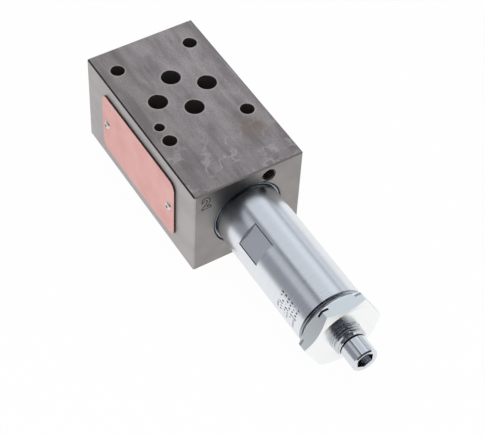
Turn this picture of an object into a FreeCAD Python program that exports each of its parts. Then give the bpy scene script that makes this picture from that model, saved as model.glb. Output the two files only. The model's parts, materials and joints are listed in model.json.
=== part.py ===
# Hydraulic sandwich valve, size 6, with one direct-acting relief cartridge.
# Origin at the centre of the four-bolt pattern on the seal face underneath, +X towards
# the cartridge end, +Y towards the tank port, +Z up. Lengths are millimetres.
import FreeCAD, Part
import math
import os
import Sketcher

doc = FreeCAD.newDocument("sandwich_valve")
sheet = doc.addObject("Spreadsheet::Sheet", "sizes")
V = FreeCAD.Vector

# Block and its standard size 6 port pattern
block_length = 80.0
block_width = 45.0
block_height = 40.0
block_end = 48.5
block_edge = 0.5
port_bore = 7.5
port_line_x = 1.25
port_line_y = 10.4
port_a_x = -7.55
port_b_x = 9.95
seal_recess = 12.3
seal_depth = 1.35
seal_width = 1.85
bolt_hole = 5.5
bolt_x = 20.25
bolt_y_plain_end = 15.5
bolt_y_valve_end = 16.25
pin_hole = 4.0
pin_hole_depth = 5.0
pin_x = 12.75
pin_y = -16.25

# Cartridge cavity, measured inwards from the end face of the block
axis_height = 20.0
mouth_bore = 28.0
mouth_depth = 3.0
mouth_chamfer = 0.3
cartridge_thread = 24.0
thread_depth = 14.5
chamber_bore = 22.0
chamber_depth = 24.0
seat_bore = 16.0
cavity_depth = 31.0
feed_bore = 6.0

# Tank channel drilled from the end face, its screw plug, and the slanted drilling
channel_bore = 5.0
channel_y = 8.1
channel_z = 35.3
plug_thread = 6.0
plug_mouth = 11.0
plug_length = 5.0
plug_hex = 3.0
plug_hex_depth = 2.5
slant_depth = 19.0
slant_radius = 9.5
slant_run = 6.5

# Fits and clearances
thread_play = 0.05
slide_play = 0.03
nose_play = 0.2
loose_play = 0.4
seal_play = 0.05

# Spring housing: the bright tube with two wrench flats
tube_diameter = 26.0
tube_length = 55.5
collar_diameter = 27.4
collar_setback = 0.2
undercut_diameter = 24.8
undercut_width = 0.8
end_neck_diameter = 24.6
end_neck_length = 1.2
tube_chamfer = 0.4
spring_bore = 18.0
end_wall = 7.2
nose_length = 12.5
flat_across = 24.0
flat_start = 13.9
flat_length = 11.5
flat_turn = 139.0
housing_groove_root = 20.6
housing_groove_width = 2.3

# Sleeve with the seat, and the poppet that closes it
sleeve_gap = 0.5
sleeve_collar = 20.8
sleeve_collar_length = 2.0
sleeve_spigot = 7.0
sleeve_waist = 14.4
sleeve_land = 6.5
sleeve_groove_root = 12.8
sleeve_groove_start = 1.5
sleeve_groove_width = 3.2
backup_width = 1.2
inlet_bore = 6.5
guide_bore = 10.0
seat_place = 6.0
cross_hole = 4.5
cross_place = 9.8
poppet_tip = 1.6
poppet_head = 8.8
poppet_rim = 0.6
poppet_stem = 6.0
piston_place = 6.5
poppet_tail = 2.0
poppet_pin = 4.0
poppet_pin_length = 3.5

# Spring and its two seats
wire = 3.0
coil_mean = 13.7
coils = 6.0
plate_thickness = 2.5
pilot_diameter = 10.0
pilot_length = 2.0

# Adjusting screw, lock nut and their seals
screw_thread = 12.0
screw_nose = 6.0
screw_nose_length = 1.5
screw_reserve = 3.5
piston_length = 6.5
piston_groove_root = 14.4
piston_groove_place = 2.0
piston_groove_width = 2.4
thread_stub = 4.2
tip_diameter = 10.0
tip_length = 7.4
tip_groove = 0.6
tip_groove_root = 9.2
tip_chamfer = 0.5
key_size = 6.0
key_depth = 6.0
nut_across = 27.0
nut_height = 6.7
nut_face = 25.8
nut_recess = 16.4
nut_recess_depth = 2.0

# Name plate and its two drive rivets
plate_length = 54.0
plate_height = 28.0
plate_gauge = 0.8
plate_corner = 3.5
rivet_pitch = 46.5
rivet_shank = 2.0
rivet_depth = 4.0
rivet_head = 3.6
rivet_rise = 0.9
rivet_dimple = 1.0
rivet_dimple_depth = 0.3


class Size:
    """A length that knows its number and the expression that gives it from the sheet."""

    def __init__(self, text, value):
        self.text = text
        self.value = value

    def joined(self, sign, other, value):
        return Size("(%s %s %s)" % (self.text, sign, other.text), value)

    def __add__(self, other):
        other = as_size(other)
        return self.joined("+", other, self.value + other.value)

    def __sub__(self, other):
        other = as_size(other)
        return self.joined("-", other, self.value - other.value)

    def __mul__(self, other):
        other = as_size(other)
        return self.joined("*", other, self.value * other.value)

    def __truediv__(self, other):
        other = as_size(other)
        return self.joined("/", other, self.value / other.value)

    def __neg__(self):
        return Size("(0 - %s)" % self.text, -self.value)


def as_size(number):
    return number if isinstance(number, Size) else Size(repr(float(number)), float(number))


# The sheet holds every driving dimension above under its own name
numbers = {name: value for name, value in globals().items() if isinstance(value, float)}
for row, (name, value) in enumerate(numbers.items(), 1):
    sheet.set("A%d" % row, name)
    sheet.set("B%d" % row, repr(value))
    sheet.setAlias("B%d" % row, name)
    globals()[name] = Size("sizes." + name, value)
doc.recompute()

# Places along the valve axis
face_x = block_end
mouth_floor = face_x - mouth_depth
thread_end = face_x - thread_depth
chamber_end = face_x - chamber_depth
cavity_end = face_x - cavity_depth
housing_nose = mouth_floor - nose_length
sleeve_front = cavity_end + sleeve_gap
sleeve_groove = sleeve_front + sleeve_groove_start
backup_place = sleeve_groove + sleeve_groove_width - backup_width
seat_x = sleeve_front + seat_place
sleeve_collar_front = housing_nose - sleeve_collar_length
sleeve_back = housing_nose + sleeve_spigot
tube_end = face_x + tube_length
nut_back = tube_end + end_neck_length
nut_front = nut_back + nut_height
stub_end = nut_front + thread_stub
tip_end = stub_end + tip_groove + tip_length
poppet_back = sleeve_back + poppet_tail
lower_seat_face = poppet_back + plate_thickness
spring_bore_end = nut_back - end_wall
piston_back = spring_bore_end - screw_reserve
piston_front = piston_back - piston_length
screw_groove = piston_front + piston_groove_place
upper_seat_back = piston_front - screw_nose_length
upper_seat_face = upper_seat_back - plate_thickness
spring_length = upper_seat_face - lower_seat_face
block_middle = block_end - block_length / 2
plate_middle = block_height / 2

port_centres = {
    "p": (port_line_x, -port_line_y),
    "a": (port_a_x, as_size(0)),
    "b": (port_b_x, as_size(0)),
    "t": (port_line_x, port_line_y),
}
bolt_centres = [
    (-bolt_x, bolt_y_plain_end),
    (-bolt_x, -bolt_y_plain_end),
    (bolt_x, bolt_y_valve_end),
    (bolt_x, -bolt_y_valve_end),
]
rivet_places = {
    "left": block_middle - rivet_pitch / 2,
    "right": block_middle + rivet_pitch / 2,
}


def make_body(name):
    body = doc.addObject("PartDesign::Body", name)
    body.Label = name
    return body


def place(item, x=None, y=None, z=None):
    """Binds the item's place to the sheet."""
    for letter, size in (("x", x), ("y", y), ("z", z)):
        if size is not None:
            item.setExpression("Placement.Base.%s" % letter, as_size(size).text)


def plane_of(body, role):
    for feature in body.Origin.OriginFeatures:
        if feature.Role == role:
            return feature
    raise ValueError("no plane " + role)


def sketch_on(body, name, role, offset=None, lift=None):
    """A sketch on one of the body's own planes, moved by offset along its normal and by
    lift along its own vertical axis."""
    sketch = body.newObject("Sketcher::SketchObject", name)
    sketch.AttachmentSupport = [(plane_of(body, role), "")]
    sketch.MapMode = "FlatFace"
    for letter, size in (("z", offset), ("y", lift)):
        if size is not None:
            sketch.setExpression("AttachmentOffset.Base.%s" % letter, as_size(size).text)
    return sketch


def pin_point(sketch, geometry, position, across, up):
    """Holds a point of the sketch at two sizes from its origin."""
    for kind, size in (("DistanceX", as_size(across)), ("DistanceY", as_size(up))):
        index = sketch.addConstraint(
            Sketcher.Constraint(kind, -1, 1, geometry, position, size.value)
        )
        sketch.setExpression("Constraints[%d]" % index, size.text)


def draw_outline(sketch, points):
    """A closed outline with straight sides through points given as pairs of sizes."""
    corners = [V(as_size(point[0]).value, as_size(point[1]).value, 0) for point in points]
    first = sketch.GeometryCount
    count = len(points)
    for index in range(count):
        sketch.addGeometry(Part.LineSegment(corners[index], corners[(index + 1) % count]))
    for index in range(count):
        following = first + (index + 1) % count
        sketch.addConstraint(Sketcher.Constraint("Coincident", first + index, 2, following, 1))
        pin_point(sketch, first + index, 1, points[index][0], points[index][1])


def draw_circle(sketch, across, up, diameter):
    across, up, diameter = as_size(across), as_size(up), as_size(diameter)
    centre = V(across.value, up.value, 0)
    index = sketch.addGeometry(Part.Circle(centre, V(0, 0, 1), diameter.value / 2))
    pin_point(sketch, index, 3, across, up)
    limit = sketch.addConstraint(Sketcher.Constraint("Diameter", index, diameter.value))
    sketch.setExpression("Constraints[%d]" % limit, diameter.text)


def draw_rectangle(sketch, left, low, right, high):
    draw_outline(sketch, [(left, low), (right, low), (right, high), (left, high)])


def draw_hexagon(sketch, across, up, across_flats):
    """A hexagon about a point, with two corners level with that point."""
    radius = as_size(across_flats) / math.sqrt(3)
    corners = []
    for step in range(6):
        angle = math.radians(60 * step)
        corners.append((
            radius * round(math.cos(angle), 12) + across,
            radius * round(math.sin(angle), 12) + up,
        ))
    draw_outline(sketch, corners)


def turn(body, name, points, cut=False, role="XZ_Plane", axis="H_Axis", lift=None):
    """Revolves an outline of (place along the axis, radius) pairs about a sketch axis."""
    sketch = sketch_on(body, name + "_outline", role, lift=lift)
    draw_outline(sketch, points)
    feature = body.newObject("PartDesign::Groove" if cut else "PartDesign::Revolution", name)
    feature.Profile = sketch
    feature.ReferenceAxis = (sketch, [axis])
    feature.Angle = 360
    return feature


def push(body, name, sketch, length, cut=False, back=False):
    """Pads a sketch, or cuts it out, by a length bound to the sheet."""
    feature = body.newObject("PartDesign::Pocket" if cut else "PartDesign::Pad", name)
    feature.Profile = sketch
    feature.setExpression("Length", as_size(length).text)
    feature.Reversed = back
    return feature


def edges_along(feature, direction):
    """Names of the straight edges of a feature that run along a direction."""
    names = []
    for number, edge in enumerate(feature.Shape.Edges, 1):
        if isinstance(edge.Curve, Part.Line) and abs(edge.Curve.Direction.dot(direction)) > 0.999:
            names.append("Edge%d" % number)
    return names


def turned_piece(name, points):
    """A piece turned about the valve axis."""
    body = make_body(name)
    turn(body, name + "_turned", points)
    place(body, z=axis_height)
    return body


def make_block():
    """Cast iron block: four straight channels, bolt holes and the cartridge cavity."""
    body = make_body("valve_body")
    outline = sketch_on(body, "block_outline", "XY_Plane")
    half = block_width / 2
    draw_rectangle(outline, block_end - block_length, -half, block_end, half)
    pad = push(body, "block", outline, block_height)
    doc.recompute()
    edges = body.newObject("PartDesign::Chamfer", "broken_edges")
    edges.Base = (pad, ["Edge%d" % number for number in range(1, len(pad.Shape.Edges) + 1)])
    edges.setExpression("Size", block_edge.text)
    doc.recompute()

    channels = sketch_on(body, "channels", "XY_Plane")
    for across, up in port_centres.values():
        draw_circle(channels, across, up, port_bore)
    for across, up in bolt_centres:
        draw_circle(channels, across, up, bolt_hole)
    push(body, "through_holes", channels, block_height, cut=True, back=True)

    recesses = sketch_on(body, "seal_recesses", "XY_Plane")
    for across, up in port_centres.values():
        draw_circle(recesses, across, up, seal_recess)
    push(body, "recesses", recesses, seal_depth, cut=True, back=True)

    for name, offset, back in (("pin_hole_top", block_height, False), ("pin_hole_under", 0, True)):
        pin = sketch_on(body, name + "_place", "XY_Plane", offset)
        draw_circle(pin, pin_x, pin_y, pin_hole)
        push(body, name, pin, pin_hole_depth, cut=True, back=back)

    turn(body, "cavity", [
        (port_b_x, 0),
        (port_b_x, feed_bore / 2),
        (cavity_end, feed_bore / 2),
        (cavity_end, seat_bore / 2),
        (chamber_end, seat_bore / 2),
        (chamber_end, chamber_bore / 2),
        (thread_end, chamber_bore / 2),
        (thread_end, cartridge_thread / 2),
        (mouth_floor, cartridge_thread / 2),
        (mouth_floor, mouth_bore / 2),
        (face_x - mouth_chamfer, mouth_bore / 2),
        (face_x, mouth_bore / 2 + mouth_chamfer),
        (face_x, 0),
    ], cut=True, lift=axis_height)

    for name, diameter, depth in (
        ("tank_channel", channel_bore, face_x - port_line_x),
        ("plug_hole", plug_thread, plug_mouth),
    ):
        drilled = sketch_on(body, name + "_place", "YZ_Plane", face_x)
        draw_circle(drilled, channel_y, channel_z, diameter)
        push(body, name, drilled, depth, cut=True)
    add_slanted_drilling(body)

    rivets = sketch_on(body, "rivet_holes_place", "XZ_Plane", block_width / 2)
    for across in rivet_places.values():
        draw_circle(rivets, across, plate_middle, rivet_shank + slide_play * 2)
    push(body, "rivet_holes", rivets, rivet_depth, cut=True)
    return body


def add_slanted_drilling(body):
    """Cuts the slanted drilling that joins the tank chamber to the tank channel."""
    channel_off = V(0, channel_y.value, (channel_z - axis_height).value)
    outwards = V(channel_off).normalize()
    on_axis = V((face_x - slant_depth).value, 0, axis_height.value)
    start = on_axis + outwards * slant_radius.value
    end = on_axis + channel_off - V(slant_run.value, 0, 0)
    drilling = body.newObject("PartDesign::SubtractiveCylinder", "slanted_drilling")
    drilling.setExpression("Radius", (channel_bore / 2).text)
    drilling.Height = (end - start).Length
    drilling.Placement = FreeCAD.Placement(start, FreeCAD.Rotation(V(0, 0, 1), end - start))


def pressed_section(side_low, side_high, flat_low, flat_high):
    """A seal section pressed flat between two faces, its free sides bulging outwards.
    Each point is a pair: the place across the free sides, then between the faces."""
    middle = (as_size(flat_low) + flat_high) / 2
    bulge = (as_size(flat_high) - flat_low) / 4
    return [
        (side_low + bulge, flat_low),
        (side_low, middle),
        (side_low + bulge, flat_high),
        (side_high - bulge, flat_high),
        (side_high, middle),
        (side_high - bulge, flat_low),
    ]


def make_port_seal(name, across, up):
    """A port seal in its seated section, level with the face of the block."""
    body = make_body(name)
    outer = seal_recess / 2 - seal_play
    section = pressed_section(outer - seal_width, outer, 0, seal_depth)
    turn(body, name + "_section", section, axis="V_Axis")
    place(body, x=across, y=up)
    return body


def make_groove_seal(name, middle_x, width, root, bore):
    """A seal that fills a groove up to the bore round it."""
    section = pressed_section(
        middle_x - width / 2, middle_x + width / 2, root / 2 + seal_play, bore / 2 - seal_play
    )
    return turned_piece(name, section)


def make_housing():
    """The turned tube: cartridge thread, collar, wrench flats and threaded end wall."""
    body = make_body("spring_housing")
    place(body, z=axis_height)
    thread_radius = cartridge_thread / 2 - thread_play
    tube_radius = tube_diameter / 2
    collar_radius = collar_diameter / 2
    collar_face = face_x - collar_setback
    groove_start = mouth_floor - housing_groove_width
    nose_radius = chamber_bore / 2 - nose_play
    turn(body, "housing_outside", [
        (housing_nose, 0),
        (housing_nose, nose_radius),
        (thread_end, nose_radius),
        (thread_end + tube_chamfer, thread_radius),
        (groove_start, thread_radius),
        (groove_start, housing_groove_root / 2),
        (mouth_floor, housing_groove_root / 2),
        (mouth_floor, collar_radius),
        (collar_face - tube_chamfer, collar_radius),
        (collar_face, collar_radius - tube_chamfer),
        (collar_face, undercut_diameter / 2),
        (collar_face + undercut_width, undercut_diameter / 2),
        (collar_face + undercut_width, tube_radius),
        (tube_end - tube_chamfer, tube_radius),
        (tube_end, tube_radius - tube_chamfer),
        (tube_end, end_neck_diameter / 2),
        (nut_back, end_neck_diameter / 2),
        (nut_back, 0),
    ])
    turn(body, "housing_bore", [
        (housing_nose, 0),
        (housing_nose, spring_bore / 2),
        (spring_bore_end, spring_bore / 2),
        (spring_bore_end, screw_thread / 2 + thread_play),
        (nut_back, screw_thread / 2 + thread_play),
        (nut_back, 0),
    ], cut=True)
    for name, turned in (("front_flat", 0), ("back_flat", 180)):
        flat = sketch_on(body, name + "_place", "YZ_Plane", face_x + flat_start + flat_length)
        flat.AttachmentOffset = FreeCAD.Placement(V(0, 0, 0), FreeCAD.Rotation(V(0, 0, 1), 1))
        flat.setExpression("AttachmentOffset.Rotation.Angle", (flat_turn + turned).text)
        flat.setExpression("AttachmentOffset.Base.z", (face_x + flat_start + flat_length).text)
        draw_rectangle(flat, flat_across / 2, -tube_radius, tube_diameter * 0.6, tube_radius)
        push(body, name, flat, flat_length, cut=True)
    return body


def make_sleeve():
    """The hardened sleeve: sealed nose, seat edge, four outlet holes and poppet guide."""
    body = make_body("valve_sleeve")
    place(body, z=axis_height)
    nose_radius = seat_bore / 2 - slide_play
    turn(body, "sleeve_outside", [
        (sleeve_front, 0),
        (sleeve_front, nose_radius - tube_chamfer),
        (sleeve_front + tube_chamfer, nose_radius),
        (sleeve_groove, nose_radius),
        (sleeve_groove, sleeve_groove_root / 2),
        (sleeve_groove + sleeve_groove_width, sleeve_groove_root / 2),
        (sleeve_groove + sleeve_groove_width, nose_radius),
        (sleeve_front + sleeve_land, nose_radius),
        (sleeve_front + sleeve_land, sleeve_waist / 2),
        (sleeve_collar_front, sleeve_waist / 2),
        (sleeve_collar_front, sleeve_collar / 2),
        (housing_nose, sleeve_collar / 2),
        (housing_nose, spring_bore / 2 - slide_play),
        (sleeve_back, spring_bore / 2 - slide_play),
        (sleeve_back, 0),
    ])
    turn(body, "sleeve_bore", [
        (sleeve_front, 0),
        (sleeve_front, inlet_bore / 2),
        (seat_x, inlet_bore / 2),
        (seat_x, guide_bore / 2),
        (sleeve_back, guide_bore / 2),
        (sleeve_back, 0),
    ], cut=True)
    for role in ("XY_Plane", "XZ_Plane"):
        outlet = sketch_on(body, "outlet_" + role[:2].lower(), role, -sleeve_collar / 2)
        draw_circle(outlet, sleeve_front + cross_place, 0, cross_hole)
        push(body, "outlets_" + role[:2].lower(), outlet, sleeve_collar, cut=True, back=True)
    return body


def make_poppet():
    """The poppet: sealing cone, waist, guide piston and the pin for its spring seat."""
    seat_radius = inlet_bore / 2 - slide_play
    tip_radius = poppet_tip / 2
    head_radius = poppet_head / 2
    head_x = seat_x + head_radius - seat_radius
    piston_radius = guide_bore / 2 - slide_play
    piston_x = seat_x + piston_place
    return turned_piece("poppet", [
        (seat_x - seat_radius + tip_radius, 0),
        (seat_x - seat_radius + tip_radius, tip_radius),
        (head_x, head_radius),
        (head_x + poppet_rim, head_radius),
        (head_x + poppet_rim, poppet_stem / 2),
        (piston_x, poppet_stem / 2),
        (piston_x, piston_radius),
        (poppet_back, piston_radius),
        (poppet_back, poppet_pin / 2),
        (poppet_back + poppet_pin_length, poppet_pin / 2),
        (poppet_back + poppet_pin_length, 0),
    ])


def make_spring():
    """The pressure spring: square wire wound round the axis, both ends ground flat."""
    helix = doc.addObject("Part::Helix", "coil_line")
    helix.setExpression("Pitch", (spring_length / coils).text)
    helix.setExpression("Height", spring_length.text)
    helix.setExpression("Radius", (coil_mean / 2).text)
    section = doc.addObject("Part::RegularPolygon", "wire_section")
    section.Polygon = 4
    section.setExpression("Circumradius", (wire / math.sqrt(2)).text)
    section.Placement = FreeCAD.Placement(
        V(0, 0, 0), FreeCAD.Rotation(V(1, 0, 0), 90) * FreeCAD.Rotation(V(0, 0, 1), 45)
    )
    place(section, x=coil_mean / 2)
    doc.recompute()
    wound = doc.addObject("Part::Sweep", "wound_wire")
    wound.Sections = [section]
    wound.Spine = (helix, ["Edge1"])
    wound.Solid = True
    wound.Frenet = True
    ground = doc.addObject("Part::Box", "ground_length")
    for side in ("Length", "Width"):
        ground.setExpression(side, (coil_mean * 2).text)
    ground.setExpression("Height", spring_length.text)
    place(ground, x=-coil_mean, y=-coil_mean)
    spring = doc.addObject("Part::Common", "main_spring")
    spring.Label = "main_spring"
    spring.Base = wound
    spring.Tool = ground
    spring.Placement = FreeCAD.Placement(V(0, 0, 0), FreeCAD.Rotation(V(0, 1, 0), 90))
    place(spring, x=lower_seat_face, z=axis_height)
    return spring


def make_spring_seat(name, flat_x, forward, hole=None):
    """A flanged spring seat. forward is 1 where its pilot points along +X, else -1."""
    back_x = flat_x - plate_thickness * forward
    tip_x = flat_x + pilot_length * forward
    inner = as_size(0) if hole is None else hole
    return turned_piece(name, [
        (back_x, inner),
        (back_x, spring_bore / 2 - loose_play),
        (flat_x, spring_bore / 2 - loose_play),
        (flat_x, pilot_diameter / 2),
        (tip_x, pilot_diameter / 2),
        (tip_x, inner),
    ])


def make_adjusting_screw():
    """The adjusting screw: nose, sealed piston, threaded shank and smooth keyed tip."""
    body = make_body("adjusting_screw")
    place(body, z=axis_height)
    piston_radius = spring_bore / 2 - thread_play
    thread_radius = screw_thread / 2
    turn(body, "screw_turned", [
        (upper_seat_back, 0),
        (upper_seat_back, screw_nose / 2),
        (piston_front, screw_nose / 2),
        (piston_front, piston_radius),
        (screw_groove, piston_radius),
        (screw_groove, piston_groove_root / 2),
        (screw_groove + piston_groove_width, piston_groove_root / 2),
        (screw_groove + piston_groove_width, piston_radius),
        (piston_back, piston_radius),
        (piston_back, thread_radius),
        (stub_end - tip_chamfer, thread_radius),
        (stub_end, thread_radius - tip_chamfer),
        (stub_end, tip_groove_root / 2),
        (stub_end + tip_groove, tip_groove_root / 2),
        (stub_end + tip_groove, tip_diameter / 2),
        (tip_end - tip_chamfer, tip_diameter / 2),
        (tip_end, tip_diameter / 2 - tip_chamfer),
        (tip_end, 0),
    ])
    socket = sketch_on(body, "key_socket_place", "YZ_Plane", tip_end)
    draw_hexagon(socket, 0, 0, key_size)
    push(body, "key_socket", socket, key_depth, cut=True)
    return body


def make_lock_nut():
    """The thin lock nut: both faces chamfered, with a seal recess at the back."""
    body = make_body("lock_nut")
    place(body, z=axis_height)
    blank = sketch_on(body, "nut_blank", "YZ_Plane", nut_back)
    draw_hexagon(blank, 0, 0, nut_across)
    draw_circle(blank, 0, 0, screw_thread + thread_play * 2)
    push(body, "nut_prism", blank, nut_height)
    corner = nut_across / math.sqrt(3) + 1
    rise = (corner - nut_face / 2) * math.tan(math.radians(30))
    for name, face, inwards in (("back_chamfer", nut_back, rise), ("front_chamfer", nut_front, -rise)):
        turn(body, name, [
            (face, nut_face / 2),
            (face + inwards, corner),
            (face, corner),
        ], cut=True)
    turn(body, "seal_pocket", [
        (nut_back, 0),
        (nut_back, nut_recess / 2),
        (nut_back + nut_recess_depth, nut_recess / 2),
        (nut_back + nut_recess_depth, 0),
    ], cut=True)
    return body


def make_nut_seal():
    """The seal pressed into the back of the lock nut, round the adjusting screw."""
    section = pressed_section(
        screw_thread / 2 + seal_play, nut_recess / 2 - seal_play, nut_back, nut_back + nut_recess_depth
    )
    return turned_piece("nut_seal", [(along, radius) for radius, along in section])


def make_channel_plug():
    """The screw plug sunk in the mouth of the tank channel."""
    body = make_body("channel_plug")
    back = face_x - plug_mouth
    outline = sketch_on(body, "plug_outline", "YZ_Plane", back)
    draw_circle(outline, channel_y, channel_z, plug_thread - thread_play * 2)
    push(body, "plug_blank", outline, plug_length)
    socket = sketch_on(body, "plug_socket_place", "YZ_Plane", back + plug_length)
    draw_hexagon(socket, channel_y, channel_z, plug_hex)
    push(body, "plug_socket", socket, plug_hex_depth, cut=True)
    return body


def make_name_plate():
    """The thin red name plate, with rounded corners and two rivet holes."""
    body = make_body("name_plate")
    blank = sketch_on(body, "plate_outline", "XZ_Plane", block_width / 2)
    draw_rectangle(
        blank,
        block_middle - plate_length / 2,
        plate_middle - plate_height / 2,
        block_middle + plate_length / 2,
        plate_middle + plate_height / 2,
    )
    for across in rivet_places.values():
        draw_circle(blank, across, plate_middle, rivet_shank + slide_play * 2)
    pad = push(body, "plate_blank", blank, plate_gauge)
    doc.recompute()
    corners = body.newObject("PartDesign::Fillet", "plate_corners")
    corners.Base = (pad, edges_along(pad, V(0, 1, 0)))
    corners.setExpression("Radius", plate_corner.text)
    return body


def make_rivet(name, across):
    """A drive rivet with a raised head and a centre dimple, its shank in the block."""
    body = make_body(name)
    surface = -block_width / 2 - plate_gauge
    head = rivet_head / 2
    dimple = rivet_dimple / 2
    turn(body, name + "_turned", [
        (0, rivet_depth - block_width / 2),
        (rivet_shank / 2, rivet_depth - block_width / 2),
        (rivet_shank / 2, surface),
        (head, surface),
        (head, surface - rivet_rise / 3),
        (dimple * 2, surface - rivet_rise),
        (dimple, surface - rivet_rise),
        (0, surface - rivet_rise + rivet_dimple_depth),
    ], role="XY_Plane", axis="V_Axis")
    place(body, x=across, z=plate_middle)
    return body


nodes = [
    make_block(),
    make_name_plate(),
    make_housing(),
    make_sleeve(),
    make_poppet(),
    make_spring(),
    make_adjusting_screw(),
    make_lock_nut(),
    make_channel_plug(),
]
for letter, (across, up) in port_centres.items():
    nodes.append(make_port_seal("port_seal_" + letter, across, up))
for side, across in rivet_places.items():
    nodes.append(make_rivet("plate_rivet_" + side, across))
nodes.append(make_spring_seat("lower_spring_seat", lower_seat_face, 1, poppet_pin / 2 + slide_play))
nodes.append(make_spring_seat("upper_spring_seat", upper_seat_face, -1))

# Seals about the valve axis, each centred in the room that its groove leaves
for name, middle_x, room, root, bore in (
    ("housing_seal", mouth_floor - housing_groove_width / 2, housing_groove_width,
     housing_groove_root, cartridge_thread),
    ("screw_seal", screw_groove + piston_groove_width / 2, piston_groove_width,
     piston_groove_root, spring_bore),
    ("sleeve_seal", (sleeve_groove + backup_place) / 2, backup_place - sleeve_groove,
     sleeve_groove_root, seat_bore),
):
    nodes.append(make_groove_seal(name, middle_x, room - loose_play, root, bore))
nodes.append(turned_piece("sleeve_backup_ring", [
    (backup_place, sleeve_groove_root / 2 + seal_play),
    (backup_place, seat_bore / 2 - seal_play),
    (backup_place + backup_width, seat_bore / 2 - seal_play),
    (backup_place + backup_width, sleeve_groove_root / 2 + seal_play),
]))
nodes.append(make_nut_seal())

doc.recompute()
for item in doc.Objects:
    if "Invalid" in item.State or "Error" in item.State:
        raise RuntimeError("%s failed: %s" % (item.Name, item.State))
for node in nodes:
    if node.Shape.isNull() or not node.Shape.isValid():
        raise RuntimeError("%s has no valid shape" % node.Label)

os.makedirs("parts", exist_ok=True)
for node in nodes:
    node.Shape.exportStep(os.path.join("parts", node.Label + ".step"))
    box = node.Shape.BoundBox
    print("%-20s solids %d volume %9.2f  x %7.2f %7.2f  y %7.2f %7.2f  z %6.2f %6.2f" % (
        node.Label, len(node.Shape.Solids), node.Shape.Volume,
        box.XMin, box.XMax, box.YMin, box.YMax, box.ZMin, box.ZMax,
    ))
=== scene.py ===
# %% [markdown]
# # A hydraulic sandwich valve
#
# The object is a machined iron block with a relief cartridge in one end. The solids come
# from a CAD model and stay where they are. This lesson adds what a solid model leaves
# out: finishes, threads, rounded rivet heads, the nut's turned-off corners, soft studio
# light and a camera.
#
# Everything is in metres. The origin is under the middle of the bolt pattern, +X runs
# along the cartridge, +Y away from the red plate and +Z upwards.

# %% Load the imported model
import json
from math import cos, pi, radians, sin, sqrt

import bmesh
import bpy
from mathutils import Matrix, Vector


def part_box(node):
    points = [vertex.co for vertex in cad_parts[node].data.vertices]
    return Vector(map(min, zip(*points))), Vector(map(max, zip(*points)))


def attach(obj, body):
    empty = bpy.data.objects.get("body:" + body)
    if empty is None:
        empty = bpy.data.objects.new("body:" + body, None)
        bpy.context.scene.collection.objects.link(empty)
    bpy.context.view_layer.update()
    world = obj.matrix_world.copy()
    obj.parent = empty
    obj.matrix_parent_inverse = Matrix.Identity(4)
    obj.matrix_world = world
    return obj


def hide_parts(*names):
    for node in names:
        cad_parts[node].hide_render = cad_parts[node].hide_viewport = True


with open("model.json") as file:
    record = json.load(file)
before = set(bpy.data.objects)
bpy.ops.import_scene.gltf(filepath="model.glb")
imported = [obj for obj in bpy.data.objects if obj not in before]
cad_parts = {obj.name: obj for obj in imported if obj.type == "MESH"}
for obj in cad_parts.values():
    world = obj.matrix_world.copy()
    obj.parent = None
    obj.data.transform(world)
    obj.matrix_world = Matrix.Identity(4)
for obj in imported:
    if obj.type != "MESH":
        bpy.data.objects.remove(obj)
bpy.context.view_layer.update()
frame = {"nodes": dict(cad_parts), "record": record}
mm = 0.001
print("nodes:", sorted(frame["nodes"]))

# %% [markdown]
# The valve axis is the line that the tube, the nut and the screw are turned about. It is
# read from the tube's own box, so that every turned piece below shares it.

# %% The valve axis
tube_low, tube_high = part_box("spring_housing")
block_low, block_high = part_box("valve_body")
nut_low, nut_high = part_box("lock_nut")
axis_z = (tube_low.z + tube_high.z) / 2
axis = Vector((0, 0, axis_z))
along = Vector((1, 0, 0))
print("valve axis at height", round(axis_z / mm, 3), "mm")

# %% [markdown]
# ## Helpers
#
# Colours are written as the eye sees them, as sRGB hex values. Blender works with linear
# light, so one function turns the first into the second. Another adds a node with its
# settings and its links, which keeps each material to a few readable lines.

# %% Colour and node helpers
def colour(hex_value):
    """The linear colour, with an alpha of 1, of an sRGB hex value such as 8a878b."""
    parts = [int(hex_value[i:i + 2], 16) / 255 for i in (0, 2, 4)]
    return [p / 12.92 if p <= 0.04045 else ((p + 0.055) / 1.055) ** 2.4 for p in parts] + [1.0]


def feed(tree, node, inputs):
    """Fills a node's inputs, given as a list in the order Blender shows or as a dict.

    Each is a number, a vector, a hex colour, or the node or socket that it comes from.
    """
    if isinstance(inputs, dict):
        pairs = [(node.inputs[name], value) for name, value in inputs.items()]
    else:
        pairs = list(zip([socket for socket in node.inputs if socket.enabled], inputs))
    for socket, value in pairs:
        if isinstance(value, bpy.types.Node):
            value = next(output for output in value.outputs if output.enabled)
        if isinstance(value, bpy.types.NodeSocket):
            tree.links.new(value, socket)
        else:
            socket.default_value = colour(value) if isinstance(value, str) else value


def add(tree, kind, inputs=(), **settings):
    """Adds a node with its settings, and fills its inputs."""
    node = tree.nodes.new("ShaderNode" + kind)
    for name, value in settings.items():
        setattr(node, name, value)
    feed(tree, node, inputs)
    return node


def start_material(name, hex_value, metallic, roughness):
    """A material with its colour, metallic and roughness set on the shader's sockets."""
    material = bpy.data.materials.new(name)
    material.use_nodes = True
    tree = material.node_tree
    shader = tree.nodes["Principled BSDF"]
    feed(tree, shader, {"Base Color": hex_value, "Metallic": metallic, "Roughness": roughness})
    place = add(tree, "TexCoord").outputs["Object"]
    return material, tree, shader, place


# %% [markdown]
# A few steps come back in many finishes: noise of a real grain size, the direction that a
# face looks in, a mask of where a finish lies, and tones laid over each other as a painter
# would. A noise scale is one over the size of its blotches, here in metres.

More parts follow.
